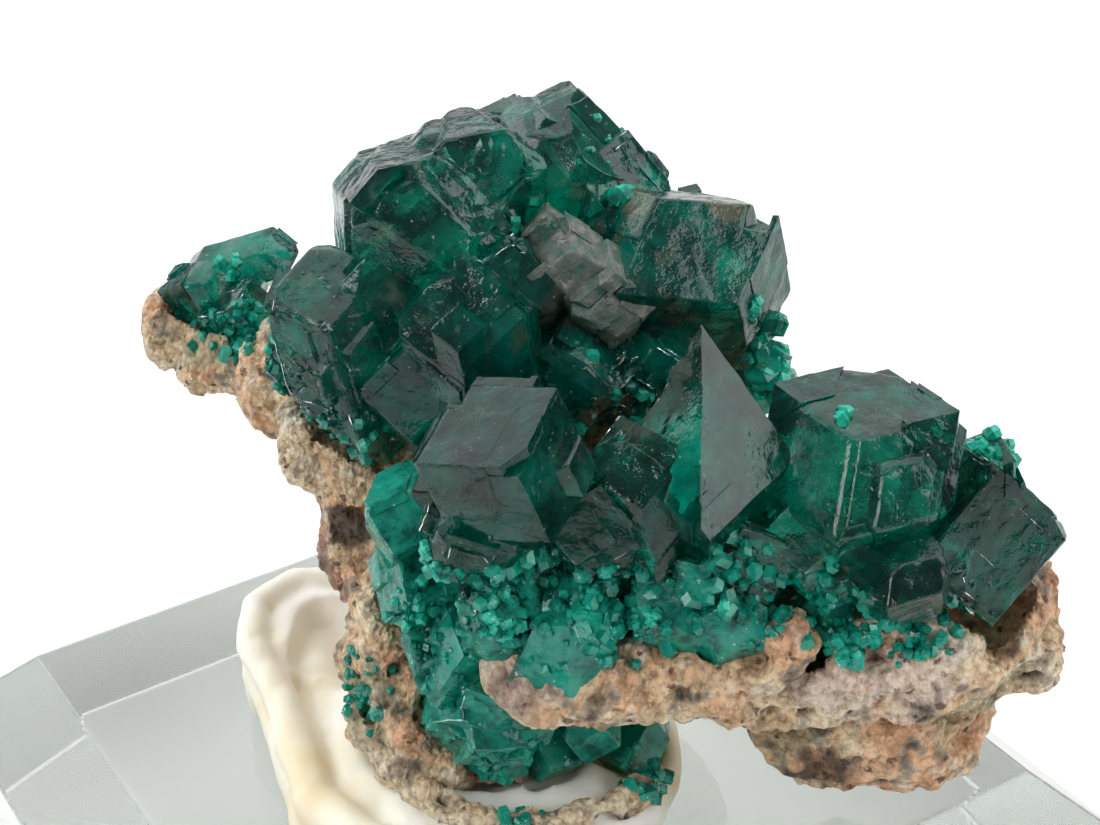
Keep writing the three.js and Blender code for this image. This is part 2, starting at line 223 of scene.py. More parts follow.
def with_cuts(normals, distances, spec, draw):
    """Small extra faces on some of the corners about a crystal's tip."""
    corners = corners_inside(normals, distances)
    if len(corners) < 4:
        return normals, distances
    axis = np.array(Vector(spec["axis"]).normalized())
    upper = corners[corners @ axis > (corners @ axis).max() - spec["width"] * 0.9]
    middle = corners.mean(axis=0)
    for _ in range(spec.get("cuts", 5 if spec["width"] > 3 else 2)):
        corner = upper[draw.randrange(len(upper))]
        lean = np.array([draw.gauss(0, 0.35) for _ in range(3)])
        normal = (corner - middle) / np.linalg.norm(corner - middle) + lean
        normal /= np.linalg.norm(normal)
        depth = spec["width"] * draw.uniform(0.03, 0.11)
        normals = np.vstack([normals, normal])
        distances = np.append(distances, (corners @ normal).max() - depth)
    return normals, distances


def hull(corners, bevel):
    """A convex bmesh round the corners, with its edges rounded."""
    bm = bmesh.new()
    verts = [bm.verts.new(PLACE @ Vector(p)) for p in corners]
    bmesh.ops.convex_hull(bm, input=verts)
    bmesh.ops.remove_doubles(bm, verts=bm.verts, dist=2e-6)
    bmesh.ops.dissolve_limit(bm, angle_limit=0.02, verts=bm.verts, edges=bm.edges)
    if bevel:
        bmesh.ops.bevel(
            bm,
            geom=bm.edges[:],
            offset=bevel * MM,
            segments=2,
            profile=0.5,
            affect="EDGES",
            clamp_overlap=True,
        )
        bmesh.ops.remove_doubles(bm, verts=bm.verts, dist=1e-6)
    bmesh.ops.triangulate(bm, faces=bm.faces)
    bmesh.ops.delete(bm, geom=[v for v in bm.verts if not v.link_faces], context="VERTS")
    bmesh.ops.recalc_face_normals(bm, faces=bm.faces)
    return bm


def polyhedron(normals, distances, bevel):
    """A closed mesh of the space inside the planes, with its edges rounded where they can be."""
    corners = corners_inside(normals, distances)
    if len(corners) < 4:
        return None
    for rounding in (bevel, bevel * 0.4, 0):
        bm = hull(corners, rounding)
        if bm.faces and all(e.is_manifold for e in bm.edges) and bm.calc_volume() > 1e-13:
            mesh = bpy.data.meshes.new("crystal")
            bm.to_mesh(mesh)
            bm.free()
            return mesh
        bm.free()
    return None


def plates(spec, count, rng):
    """Low bosses with the crystal's own faces, which leave steps and terraces on it."""
    normals, distances = planes_of(spec)
    tip = np.array(spec["tip"])
    turn = turned(spec["axis"])
    made = []
    for _ in range(count):
        angle = rng.uniform(0, 2 * math.pi)
        out = spec["width"] * 0.5 * math.sqrt(rng.random())
        down = spec["length"] * rng.random() ** 1.6 * 0.8
        at = tip + np.array(turn @ Vector((math.cos(angle) * out, math.sin(angle) * out, -down)))
        size = spec["width"] * rng.uniform(0.08, 0.34)
        rise = rng.uniform(0.02, 0.07)
        for level in range(rng.choice((1, 1, 2))):
            reach = normals @ at + size * (1 - 0.28 * level)
            made.append((normals, np.minimum(distances + rise * (level + 1), reach)))
    return made


def points_of(mesh):
    points = np.empty(len(mesh.vertices) * 3)
    mesh.vertices.foreach_get("co", points)
    normals = np.empty(len(mesh.vertices) * 3)
    mesh.vertex_normals.foreach_get("vector", normals)
    return points.reshape(-1, 3), normals.reshape(-1, 3)


def mesh_object(name, mesh):
    piece = bpy.data.objects.new(name, mesh)
    bpy.context.collection.objects.link(piece)
    return piece


def united(meshes):
    """One closed mesh from many that overlap."""
    pieces = [mesh_object("part", m) for m in meshes if m]
    while len(pieces) > 1:
        left = []
        for a, b in zip(pieces[::2], pieces[1::2]):
            modifier = a.modifiers.new("union", "BOOLEAN")
            modifier.operation = "UNION"
            modifier.solver = "MANIFOLD"
            modifier.object = b
            left.append((a, b))
        graph = bpy.context.evaluated_depsgraph_get()
        made = [bpy.data.meshes.new_from_object(a.evaluated_get(graph)) for a, _ in left]
        odd = [pieces[-1]] if len(pieces) % 2 else []
        for (a, b), mesh in zip(left, made):
            a.modifiers.clear()
            a.data = mesh
            bpy.data.objects.remove(b)
        pieces = [a for a, _ in left] + odd
    mesh = pieces[0].data
    bpy.data.objects.remove(pieces[0])
    return mesh


def without_slivers(bm):
    """Takes out faces with no width and pairs of faces with the same corners, which enclose nothing."""
    bmesh.ops.dissolve_degenerate(bm, dist=1e-6, edges=bm.edges)
    bmesh.ops.triangulate(bm, faces=[f for f in bm.faces if len(f.verts) > 3])
    same = {}
    for face in bm.faces:
        same.setdefault(frozenset(face.verts), []).append(face)
    bmesh.ops.delete(bm, geom=[f for pair in same.values() if len(pair) > 1 for f in pair], context="FACES")
    bmesh.ops.delete(bm, geom=[e for e in bm.edges if not e.link_faces], context="EDGES")


def refine(mesh, longest):
    """Splits a mesh's long edges and keeps it closed."""
    bm = bmesh.new()
    bm.from_mesh(mesh)
    bmesh.ops.remove_doubles(bm, verts=bm.verts, dist=1e-6)
    bmesh.ops.triangulate(bm, faces=bm.faces)
    for _ in range(7):
        split = [e for e in bm.edges if e.calc_length() > longest * MM]
        if not split:
            break
        bmesh.ops.subdivide_edges(bm, edges=split, cuts=1)
        bmesh.ops.triangulate(bm, faces=[f for f in bm.faces if len(f.verts) > 3])
        without_slivers(bm)
    bm.to_mesh(mesh)
    bm.free()


# Where the crystals are broken or overgrown: centre in the display frame, radius, strength
BROKEN = [
    ((-6.2, -1.0, 26.0), 3.0, 1.0),
    ((0.8, -0.4, 31.6), 2.2, 0.7),
    ((3.4, -1.2, 29.2), 2.4, 0.2),
    ((5.4, 2.4, 32.0), 1.8, 0.2),
    ((4.4, -3.0, 26.6), 2.4, 0.6),
    ((-0.8, -9.2, 23.6), 2.4, 0.6),
    ((2.6, -9.6, 23.6), 2.6, 0.6),
    ((6.8, -9.8, 23.4), 2.2, 0.4),
    ((10.4, -9.4, 23.0), 2.4, 0.5),
    ((13.6, -8.6, 21.4), 2.2, 0.8),
    ((4.7, -7.2, 29.2), 1.5, 0.9),
    ((-1.6, -8.0, 19.0), 3.6, 0.3),
    ((-8.6, 4.8, 25.6), 1.6, 0.9),
    ((9.6, 0.0, 26.0), 1.6, 0.7),
]


def weather(mesh, flat, seed):
    """Bends faces a little everywhere, and breaks them into chips where the crystals are broken."""
    points, normals = points_of(mesh)
    places = [(PLACE @ Vector(at), radius * MM, strength) for at, radius, strength in BROKEN]
    shift = Vector((seed * 7.3, seed * 3.1, seed * 5.7))
    moved = np.empty_like(points)
    for i, (p, n) in enumerate(zip(points, normals)):
        p, n = Vector(p), Vector(n)
        q = p / MM + shift
        broken = flat
        for at, radius, strength in places:
            broken = max(broken, strength * min(1, max(0, 1.35 - (p - at).length / radius)))
        bend = noise.noise_vector(q * 0.8) * 0.035 + noise.noise_vector(q * 2.6) * 0.022
        depth = 0
        for size, rise in ((1.3, 0.3), (0.55, 0.11)):
            seeds = noise.voronoi(q / size)[1][0]
            lean = noise.noise_vector(seeds * 31.7) * 1.6
            depth += rise * broken * (lean.dot(q / size - seeds) + lean.x * 0.5 - 0.35)
        moved[i] = p + (bend + n * depth) * MM
    mesh.vertices.foreach_set("co", moved.ravel())
    mesh.update()


def cluster(name, node, specs, per_crystal, seed):
    rng = random.Random(seed)
    meshes = []
    for spec in specs:
        meshes.append(polyhedron(*with_cuts(*planes_of(spec), spec, rng), min(0.14, spec["width"] * 0.035)))
        for c in companions(spec, rng):
            meshes.append(polyhedron(*with_cuts(*planes_of(c), c, rng), 0.07))
        count = max(1, round(per_crystal * spec["width"] / 4))
        meshes += [polyhedron(n, d, 0) for n, d in plates(spec, count, rng)]
    mesh = united(meshes)
    refine(mesh, 0.24)
    weather(mesh, 0.06, seed)
    mesh.shade_smooth()
    mesh.set_sharp_from_angle(angle=math.radians(16))
    piece = mesh_object(name, mesh)
    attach(piece, "root")
    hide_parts(node)
    return piece


upper = cluster("upper_cluster", "upper_crystals", [c for s in UPPER for c in with_ledges(s)], 4, 1)
front = cluster("front_cluster", "front_crystals", [c for s in FRONT for c in with_ledges(s)], 5, 2)
bowl = cluster("bowl_crystals", "front_crystals", [c for r in BOWL for c in run_of(*r)], 5, 4)
left = cluster("left_cluster", "left_crystals", LEFT, 5, 3)
dull = cluster("dull_faces", "upper_crystals", DULL, 4, 5)


# ---------------------------------------------------------------- shader helpers
def material(name):
    made = bpy.data.materials.new(name)
    made.use_nodes = True
    nodes = made.node_tree.nodes
    return made, nodes, made.node_tree.links, nodes["Principled BSDF"]


def node(nodes, kind, **values):
    made = nodes.new(kind)
    for key, value in values.items():
        if hasattr(made, key):
            setattr(made, key, value)
        else:
            made.inputs[key].default_value = value
    return made


def texture(nodes, links, kind, scale, **values):
    coords = nodes.get("Coords") or nodes.new("ShaderNodeTexCoord")
    coords.name = "Coords"
    made = node(nodes, kind, **values)
    made.inputs["Scale"].default_value = scale
    links.new(coords.outputs["Object"], made.inputs["Vector"])
    return made


def ramp(nodes, links, source, stops):
    made = nodes.new("ShaderNodeValToRGB")
    stock = made.color_ramp
    while len(stock.elements) < len(stops):
        stock.elements.new(0.5)
    for element, (at, color) in zip(stock.elements, stops):
        element.position = at
        element.color = (*color, 1) if len(color) == 3 else color
    links.new(source, made.inputs["Fac"])
    return made.outputs["Color"]


def mixed(nodes, links, factor, a, b):
    made = nodes.new("ShaderNodeMix")
    made.data_type = "RGBA"
    for socket, value in ((made.inputs[0], factor), (made.inputs[6], a), (made.inputs[7], b)):
        if isinstance(value, bpy.types.NodeSocket):
            links.new(value, socket)
        elif isinstance(value, tuple):
            socket.default_value = (*value, 1)
        else:
            socket.default_value = value
    return made.outputs[2]


def sum_of(nodes, links, op, a, b):
    made = nodes.new("ShaderNodeMath")
    made.operation = op
    for socket, value in zip(made.inputs, (a, b)):
        if isinstance(value, bpy.types.NodeSocket):
            links.new(value, socket)
        else:
            socket.default_value = value
    return made.outputs[0]


def bump(nodes, links, height, strength, distance, normal=None):
    made = nodes.new("ShaderNodeBump")
    made.inputs["Strength"].default_value = strength
    made.inputs["Distance"].default_value = distance
    links.new(height, made.inputs["Height"])
    if normal:
        links.new(normal, made.inputs["Normal"])
    return made.outputs["Normal"]


def spot(nodes, links, at, radius, ragged=0.5):
    """A ragged round patch about a point of the display frame: 1 inside, 0 outside."""
    coords = nodes.get("Coords") or nodes.new("ShaderNodeTexCoord")
    coords.name = "Coords"
    cloud = nodes.get("Ragged") or texture(nodes, links, "ShaderNodeTexNoise", 900, Detail=3.0, Roughness=0.6)
    cloud.name = "Ragged"
    away = nodes.new("ShaderNodeVectorMath")
    away.operation = "DISTANCE"
    links.new(coords.outputs["Object"], away.inputs[0])
    away.inputs[1].default_value = PLACE @ Vector(at)
    near = nodes.new("ShaderNodeMapRange")
    near.inputs["From Min"].default_value = radius * 1.4 * MM
    near.inputs["From Max"].default_value = radius * 0.6 * MM
    links.new(away.outputs["Value"], near.inputs["Value"])
    wave = sum_of(nodes, links, "MULTIPLY", sum_of(nodes, links, "SUBTRACT", cloud.outputs["Fac"], 0.5), 4 * ragged)
    raised = sum_of(nodes, links, "ADD", sum_of(nodes, links, "SUBTRACT", near.outputs[0], 0.5), wave)
    sharp = nodes.new("ShaderNodeMapRange")
    sharp.inputs["From Min"].default_value = -0.3
    sharp.inputs["From Max"].default_value = 0.3
    links.new(raised, sharp.inputs["Value"])
    return sharp.outputs[0]


def spots(nodes, links, places, ragged=0.5):
    whole = 0.0
    for at, radius in places:
        whole = sum_of(nodes, links, "MAXIMUM", whole, spot(nodes, links, at, radius, ragged))
    return whole


# Places on the crystals, in the display frame, with their radii: brown dusty patches, pale crust and painted glow, a
# lighter teal that stands in for light shining through thin crystal
UPPER_MARKS = dict(
    dusty=[((3.4, -1.2, 29.4), 1.5), ((2.2, 0.6, 29.2), 1.3)],
    pale=[((5.4, 0.7, 31.6), 0.8), ((0.9, -0.4, 32.3), 0.3), ((8.0, 0.6, 31.2), 0.7)],
    glow_spots=[
        ((4.7, 1.5, 31.5), 0.5),
        ((8.7, -1.2, 28.4), 0.5),
        ((-8.8, 6.8, 26.9), 0.4),
        ((9.8, 0.0, 25.8), 1.5),
        ((-6.4, -0.6, 27.6), 1.0),
    ],
)
FRONT_MARKS = dict(
    dusty=[((4.8, -7.2, 29.2), 1.4)],
    glow_spots=[((10.6, -7.7, 28.1), 0.4), ((7.8, -10.0, 24.4), 1.1), ((10.9, -9.0, 22.0), 1.3), ((16.6, -3.4, 24.6), 0.6)],
)


def dioptase_material(name, glow, clear, dusty=(), pale=(), glow_spots=()):
    """Dark emerald crystal, or with more glow a painted glow: the lighter teal of light shining through thin small
    ones.
    """
    made, nodes, links, shader = material(name)
    veil = texture(nodes, links, "ShaderNodeTexNoise", 1500, Detail=4.0, Roughness=0.68)
    patch = texture(nodes, links, "ShaderNodeTexNoise", 520, Detail=3.0, Roughness=0.65)
    fine = texture(nodes, links, "ShaderNodeTexNoise", 5200, Detail=1.0, Roughness=0.6)
    specks = texture(nodes, links, "ShaderNodeTexVoronoi", 3300)
    body = ramp(
        nodes,
        links,
        patch.outputs["Fac"],
        [(0.34, (0.001, 0.07, 0.055)), (0.47, (0.002, 0.16, 0.125)), (0.58, (0.003, 0.3, 0.225)), (0.7, (0.006, 0.48, 0.35))],
    )
    # Painted glow: a lighter teal base colour at the listed spots, and with more glow all over, stands in for light
    # shining through thin crystal.
    light = spots(nodes, links, glow_spots, 0.9)
    thin = ramp(nodes, links, veil.outputs["Fac"], [(0.44 - 0.1 * glow, (0, 0, 0)), (0.66 - 0.1 * glow, (1, 1, 1))])
    light = sum_of(nodes, links, "MULTIPLY", sum_of(nodes, links, "MAXIMUM", glow, light), thin)
    color = mixed(nodes, links, light, body, (0.03, 0.66, 0.47))
    # A faint pale grey-green veil over the crystals: partly dust, partly a painted sheen of reflected light.
    dust_and_sheen = ramp(nodes, links, veil.outputs["Fac"], [(0.56, (0, 0, 0)), (0.72, (1, 1, 1))])
    color = mixed(nodes, links, sum_of(nodes, links, "MULTIPLY", dust_and_sheen, 0.08), color, (0.3, 0.42, 0.37))
    brown = spots(nodes, links, dusty, 0.5)
    color = mixed(nodes, links, sum_of(nodes, links, "MULTIPLY", brown, 0.85), color, (0.13, 0.13, 0.11))
    crust = sum_of(nodes, links, "MULTIPLY", spots(nodes, links, pale, 0.6), 0.8)
    color = mixed(nodes, links, crust, color, (0.5, 0.46, 0.34))
    dot = ramp(nodes, links, specks.outputs["Distance"], [(0.1, (1, 1, 1)), (0.15, (0, 0, 0))])
    place = ramp(nodes, links, veil.outputs["Fac"], [(0.5, (0, 0, 0)), (0.56, (1, 1, 1))])
    dot = sum_of(nodes, links, "MULTIPLY", dot, place)
    color = mixed(nodes, links, dot, color, (0.7, 0.85, 0.78))
    links.new(color, shader.inputs["Base Color"])
    dull = sum_of(nodes, links, "MAXIMUM", brown, dot)
    rough = nodes.new("ShaderNodeMapRange")
    rough.inputs["From Min"].default_value = 0.3
    rough.inputs["From Max"].default_value = 0.75
    rough.inputs["To Min"].default_value = 0.02
    rough.inputs["To Max"].default_value = 0.2
    links.new(veil.outputs["Fac"], rough.inputs["Value"])
    links.new(sum_of(nodes, links, "MAXIMUM", rough.outputs[0], sum_of(nodes, links, "MULTIPLY", dull, 0.6)), shader.inputs["Roughness"])
    rolling = sum_of(nodes, links, "MULTIPLY", veil.outputs["Fac"], 1.35)
    height = sum_of(nodes, links, "ADD", rolling, sum_of(nodes, links, "MULTIPLY", fine.outputs["Fac"], 0.35))
    links.new(bump(nodes, links, height, 0.3, 0.00012), shader.inputs["Normal"])
    shader.inputs["IOR"].default_value = 1.47
    shader.inputs["Specular IOR Level"].default_value = 0.4
    shader.inputs["Transmission Weight"].default_value = clear
    inside = nodes.new("ShaderNodeVolumeAbsorption")
    inside.inputs["Color"].default_value = (0.0, 0.87, 0.83, 1)
    inside.inputs["Density"].default_value = 1300
    links.new(inside.outputs[0], nodes["Material Output"].inputs["Volume"])
    return made


LILAC = [((12.4, -9.4, 20.8), 2.0), ((9.9, -9.6, 20.2), 1.2), ((1.6, -9.4, 21.6), 1.4)]
PURPLE = [((-5.0, -0.8, 19.0), 2.2), ((0.4, -10.0, 20.2), 1.0)]
GREENISH = [((-4.2, -5.6, 17.2), 1.6), ((14.6, -8.6, 18.2), 1.6), ((8.6, -9.6, 17.0), 1.5), ((-9.6, 5.0, 24.6), 1.0)]
SOOTY = [((-4.8, -1.9, 21.5), 0.8), ((10.2, -9.6, 15.6), 1.3), ((15.6, -9, 20.6), 0.7)]


def matrix_material():
    made, nodes, links, shader = material("matrix")
    large = texture(nodes, links, "ShaderNodeTexNoise", 260, Detail=4.0, Roughness=0.6)
    middle = texture(nodes, links, "ShaderNodeTexNoise", 800, Detail=5.0, Roughness=0.6)
    grain = texture(nodes, links, "ShaderNodeTexVoronoi", 3600)
    color = ramp(
        nodes,
        links,
        large.outputs["Fac"],
        [
            (0.3, (0.72, 0.36, 0.2)),
            (0.42, (0.92, 0.58, 0.34)),
            (0.53, (0.95, 0.76, 0.5)),
            (0.62, (0.95, 0.86, 0.64)),
            (0.72, (0.74, 0.78, 0.56)),
        ],
    )
    pale = ramp(nodes, links, middle.outputs["Fac"], [(0.55, (0, 0, 0)), (0.66, (1, 1, 1))])
    color = mixed(nodes, links, sum_of(nodes, links, "MULTIPLY", pale, 0.8), color, (0.92, 0.86, 0.72))
    brown = ramp(nodes, links, middle.outputs["Fac"], [(0.32, (1, 1, 1)), (0.42, (0, 0, 0))])
    color = mixed(nodes, links, sum_of(nodes, links, "MULTIPLY", brown, 0.8), color, (0.2, 0.1, 0.055))
    for places, tint, amount in (
        (LILAC, (0.88, 0.74, 0.68), 0.65),
        (PURPLE, (0.42, 0.27, 0.27), 0.6),
        (GREENISH, (0.4, 0.42, 0.27), 0.65),
        (SOOTY, (0.035, 0.02, 0.015), 0.9),
    ):
        color = mixed(nodes, links, sum_of(nodes, links, "MULTIPLY", spots(nodes, links, places, 0.9), amount), color, tint)
    tone = ramp(nodes, links, grain.outputs["Color"], [(0.1, (0.8, 0.78, 0.76)), (0.4, (1.05, 1.05, 1.05)), (0.9, (1.2, 1.2, 1.2))])
    sugar = texture(nodes, links, "ShaderNodeTexNoise", 3600, Detail=6.0, Roughness=0.75)
    dark = ramp(nodes, links, sugar.outputs["Fac"], [(0.36, (0.62, 0.5, 0.42)), (0.46, (1, 1, 1)), (0.6, (1.2, 1.2, 1.2))])
    tint = nodes.new("ShaderNodeMix")
    tint.data_type = "RGBA"
    tint.blend_type = "MULTIPLY"
    tint.inputs[0].default_value = 1.0
    links.new(color, tint.inputs[6])
    links.new(tone, tint.inputs[7])
    sugared = nodes.new("ShaderNodeMix")
    sugared.data_type = "RGBA"
    sugared.blend_type = "MULTIPLY"
    sugared.inputs[0].default_value = 1.0
    links.new(tint.outputs[2], sugared.inputs[6])
    links.new(dark, sugared.inputs[7])
    # Small pits: the bump sinks them, and their near-black colour is painted shade.
    holes = texture(nodes, links, "ShaderNodeTexVoronoi", 1500)
    ragged = sum_of(nodes, links, "MULTIPLY", sum_of(nodes, links, "SUBTRACT", sugar.outputs["Fac"], 0.5), 1.1)
    far = sum_of(nodes, links, "ADD", holes.outputs["Distance"], ragged)
    shaded_pit = ramp(nodes, links, far, [(0.1, (1, 1, 1)), (0.2, (0, 0, 0))])
    some = ramp(nodes, links, holes.outputs["Color"], [(0.42, (0, 0, 0)), (0.5, (1, 1, 1))])
    shaded_pit = sum_of(nodes, links, "MULTIPLY", shaded_pit, some)
    gap = ramp(nodes, links, grain.outputs["Distance"], [(0.5, (0, 0, 0)), (0.8, (1, 1, 1))])
    color = mixed(nodes, links, sum_of(nodes, links, "MULTIPLY", gap, 0.4), sugared.outputs[2], (0.34, 0.2, 0.12))
    color = mixed(nodes, links, sum_of(nodes, links, "MULTIPLY", shaded_pit, 0.8), color, (0.12, 0.05, 0.03))
    links.new(color, shader.inputs["Base Color"])
    links.new(ramp(nodes, links, grain.outputs["Color"], [(0.2, (0.7, 0.7, 0.7)), (0.8, (0.25, 0.25, 0.25))]), shader.inputs["Roughness"])
    height = sum_of(nodes, links, "SUBTRACT", sugar.outputs["Fac"], sum_of(nodes, links, "MULTIPLY", grain.outputs["Distance"], 1.1))
    height = sum_of(nodes, links, "SUBTRACT", height, shaded_pit)
    links.new(bump(nodes, links, height, 1.0, 0.00026), shader.inputs["Normal"])
    return made


def putty_material():
    made, nodes, links, shader = material("putty")
    large = texture(nodes, links, "ShaderNodeTexNoise", 140, Detail=3.0, Roughness=0.5)
    fine = texture(nodes, links, "ShaderNodeTexNoise", 1500, Detail=3.0, Roughness=0.6)
    color = ramp(
        nodes,
        links,
        large.outputs["Fac"],
        [(0.38, (0.84, 0.72, 0.48)), (0.5, (0.93, 0.89, 0.74)), (0.6, (0.96, 0.95, 0.88))],
    )
    links.new(color, shader.inputs["Base Color"])
    shader.inputs["Roughness"].default_value = 0.55
    shader.inputs["Subsurface Weight"].default_value = 0.25
    shader.inputs["Subsurface Radius"].default_value = (0.001, 0.0007, 0.0004)
    shader.inputs["Subsurface Scale"].default_value = 1
    height = sum_of(nodes, links, "ADD", large.outputs["Fac"], sum_of(nodes, links, "MULTIPLY", fine.outputs["Fac"], 0.25))
    links.new(bump(nodes, links, height, 0.35, 0.0004), shader.inputs["Normal"])
    return made


def acrylic_material():
    made, nodes, links, shader = material("acrylic")
    haze = texture(nodes, links, "ShaderNodeTexNoise", 90, Detail=2.0, Roughness=0.5)
    rough = nodes.new("ShaderNodeMapRange")
    rough.inputs["To Min"].default_value = 0.0
    rough.inputs["To Max"].default_value = 0.04
    links.new(haze.outputs["Fac"], rough.inputs["Value"])
    split = nodes.new("ShaderNodeSeparateXYZ")
    links.new(nodes["Coords"].outputs["Object"], split.inputs[0])
    under = sum_of(nodes, links, "LESS_THAN", split.outputs["Z"], 0.0001)
    frost = sum_of(nodes, links, "MULTIPLY", under, 0.5)
    links.new(sum_of(nodes, links, "MAXIMUM", rough.outputs[0], frost), shader.inputs["Roughness"])
    shader.inputs["Base Color"].default_value = (1, 1, 1, 1)
    shader.inputs["IOR"].default_value = 1.49
    shader.inputs["Transmission Weight"].default_value = 1.0
    inside = nodes.new("ShaderNodeVolumeAbsorption")
    inside.inputs["Color"].default_value = (0.5, 0.65, 0.52, 1)
    inside.inputs["Density"].default_value = 16
    links.new(inside.outputs[0], nodes["Material Output"].inputs["Volume"])
    return made


def floor_material():
    made, nodes, links, shader = material("pale_floor")
    cloud = texture(nodes, links, "ShaderNodeTexNoise", 8, Detail=2.0)
    color = ramp(nodes, links, cloud.outputs["Fac"], [(0.3, (0.86, 0.86, 0.86)), (0.7, (0.9, 0.9, 0.9))])
    links.new(color, shader.inputs["Base Color"])
    shader.inputs["Roughness"].default_value = 0.5
    return made


def dress(piece, look):
    piece.data.materials.clear()
    piece.data.materials.append(look)


def dull_material():
    made, nodes, links, shader = material("dull_dioptase")
    cloud = texture(nodes, links, "ShaderNodeTexNoise", 1600, Detail=5.0, Roughness=0.65)
    fine = texture(nodes, links, "ShaderNodeTexNoise", 6000, Detail=2.0, Roughness=0.6)
    color = ramp(
        nodes,
        links,
        cloud.outputs["Fac"],
        [(0.36, (0.02, 0.1, 0.08)), (0.44, (0.07, 0.12, 0.1)), (0.52, (0.11, 0.125, 0.11)), (0.68, (0.24, 0.25, 0.22))],
    )
    links.new(color, shader.inputs["Base Color"])
    shader.inputs["Roughness"].default_value = 0.42
    height = sum_of(nodes, links, "ADD", cloud.outputs["Fac"], sum_of(nodes, links, "MULTIPLY", fine.outputs["Fac"], 0.5))
    links.new(bump(nodes, links, height, 0.6, 0.00012), shader.inputs["Normal"])
    return made


DIOPTASE = dioptase_material("dioptase", 0.0, 0.8, **UPPER_MARKS)
DEEP = dioptase_material("deep_dioptase", 0.0, 0.88, **FRONT_MARKS)
# The bowl, druse and speck materials carry painted glow: a lighter teal base that stands in for light shining through
# thin crystal.
BOWL_TEAL = dioptase_material("bowl_dioptase", 0.7, 0.5)
dress(dull, dull_material())
dress(bowl, BOWL_TEAL)
SPRINKLED = dioptase_material("small_dioptase", 0.75, 0.5)
TEAL = dioptase_material("teal_dioptase", 1.0, 0.3)
dress(front, DEEP)
for piece in (upper, left):
    dress(piece, DIOPTASE)


# ---------------------------------------------------------------- matrix, putty and block
def balls(chain):
    """Overlapping balls along a path, in one mesh."""
    bm = bmesh.new()
    for (a, ra), (b, rb) in zip(chain, chain[1:]):
        for k in range(6):
            t = k / 6
            at = Vector(a).lerp(Vector(b), t)
            place = PLACE @ Matrix.Translation(at) @ Matrix.Scale(ra + (rb - ra) * t, 4)
            bmesh.ops.create_icosphere(bm, subdivisions=2, radius=1, matrix=place)
    mesh = bpy.data.meshes.new("balls")
    bm.to_mesh(mesh)
    bm.free()
    return mesh


def joined_copy(name, source, extras, voxel, smooth):
    """A fine mesh of a CAD node's shape with some added lumps."""
    piece = mesh_object(name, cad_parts[source].data.copy())
    parts = [piece] + [mesh_object("lump", mesh) for mesh in extras]
    with bpy.context.temp_override(active_object=piece, selected_editable_objects=parts, selected_objects=parts):
        bpy.ops.object.join()
    remesh = piece.modifiers.new("remesh", "REMESH")
    remesh.mode = "VOXEL"
    remesh.voxel_size = voxel * MM
    soften = piece.modifiers.new("smooth", "SMOOTH")
    soften.factor = 0.5
    soften.iterations = smooth
    graph = bpy.context.evaluated_depsgraph_get()
    mesh = bpy.data.meshes.new_from_object(piece.evaluated_get(graph))
    piece.modifiers.clear()
    piece.data = mesh
    return piece


def roughen(piece, layers, swell=0.0):
    """Moves a mesh along its normals by noise; layers are (size in mm, depth in mm, kind)."""
    points, normals = points_of(piece.data)
    depth = np.full(len(points), swell)
    for size, rise, kind in layers:
        for i, p in enumerate(points):
            at = Vector(p) / (size * MM)
            if kind == "hills":
                depth[i] += rise * noise.noise(at)
                continue
            near, seeds = noise.voronoi(at)
            if kind == "grains":
                lean = noise.noise_vector(seeds[0] * 31.7)
                depth[i] += rise * (0.55 - near[0] + lean.dot(at - seeds[0]) * 1.4 + lean.x * 0.4)
            elif noise.noise(seeds[0] * 17.3) > 0.05:
                depth[i] -= rise * min(1, max(0, 0.4 - near[0]) * 4)
    points += normals * depth[:, None] * MM
    piece.data.vertices.foreach_set("co", points.ravel())
    piece.data.update()


# Low forms of the rock: the ledge's end, the tongue up between the crystals and the bowl's lip
NOSE = [((0.7, -9.0, 20.5), 0.9), ((1.6, -9.1, 20.3), 1.3), ((3.2, -9.2, 20.0), 1.3), ((5.2, -9.2, 19.9), 1.2), ((7.4, -9.2, 20.2), 1.2)]
TONGUE = [((8.2, -9.4, 20.6), 1.1), ((8.9, -9.6, 21.5), 0.7), ((9.0, -9.7, 22.2), 0.4)]
LIP = [
    ((-4.9, -3.8, 17.4), 0.4),
    ((-4.4, -6.0, 16.0), 0.4),
    ((-2.8, -7.8, 15.0), 0.4),
    ((-0.8, -8.9, 14.5), 0.4),
    ((1.6, -9.0, 14.3), 0.4),
    ((4.0, -8.0, 14.2), 0.4),
    ((5.2, -6.8, 14.4), 0.4),
]
rock = joined_copy("sugary_matrix", "matrix", [balls(NOSE), balls(TONGUE), balls(LIP)], 0.15, 2)
roughen(
    rock,
    [
        (1.6, 0.34, "hills"),
        (0.8, 0.2, "hills"),
        (1.5, 0.8, "pits"),
        (0.9, 0.4, "pits"),
        (0.5, 0.16, "grains"),
        (0.27, 0.11, "grains"),
    ],
    0.12,
)
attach(rock, "root")
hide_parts("matrix")
MATRIX = matrix_material()
dress(rock, MATRIX)

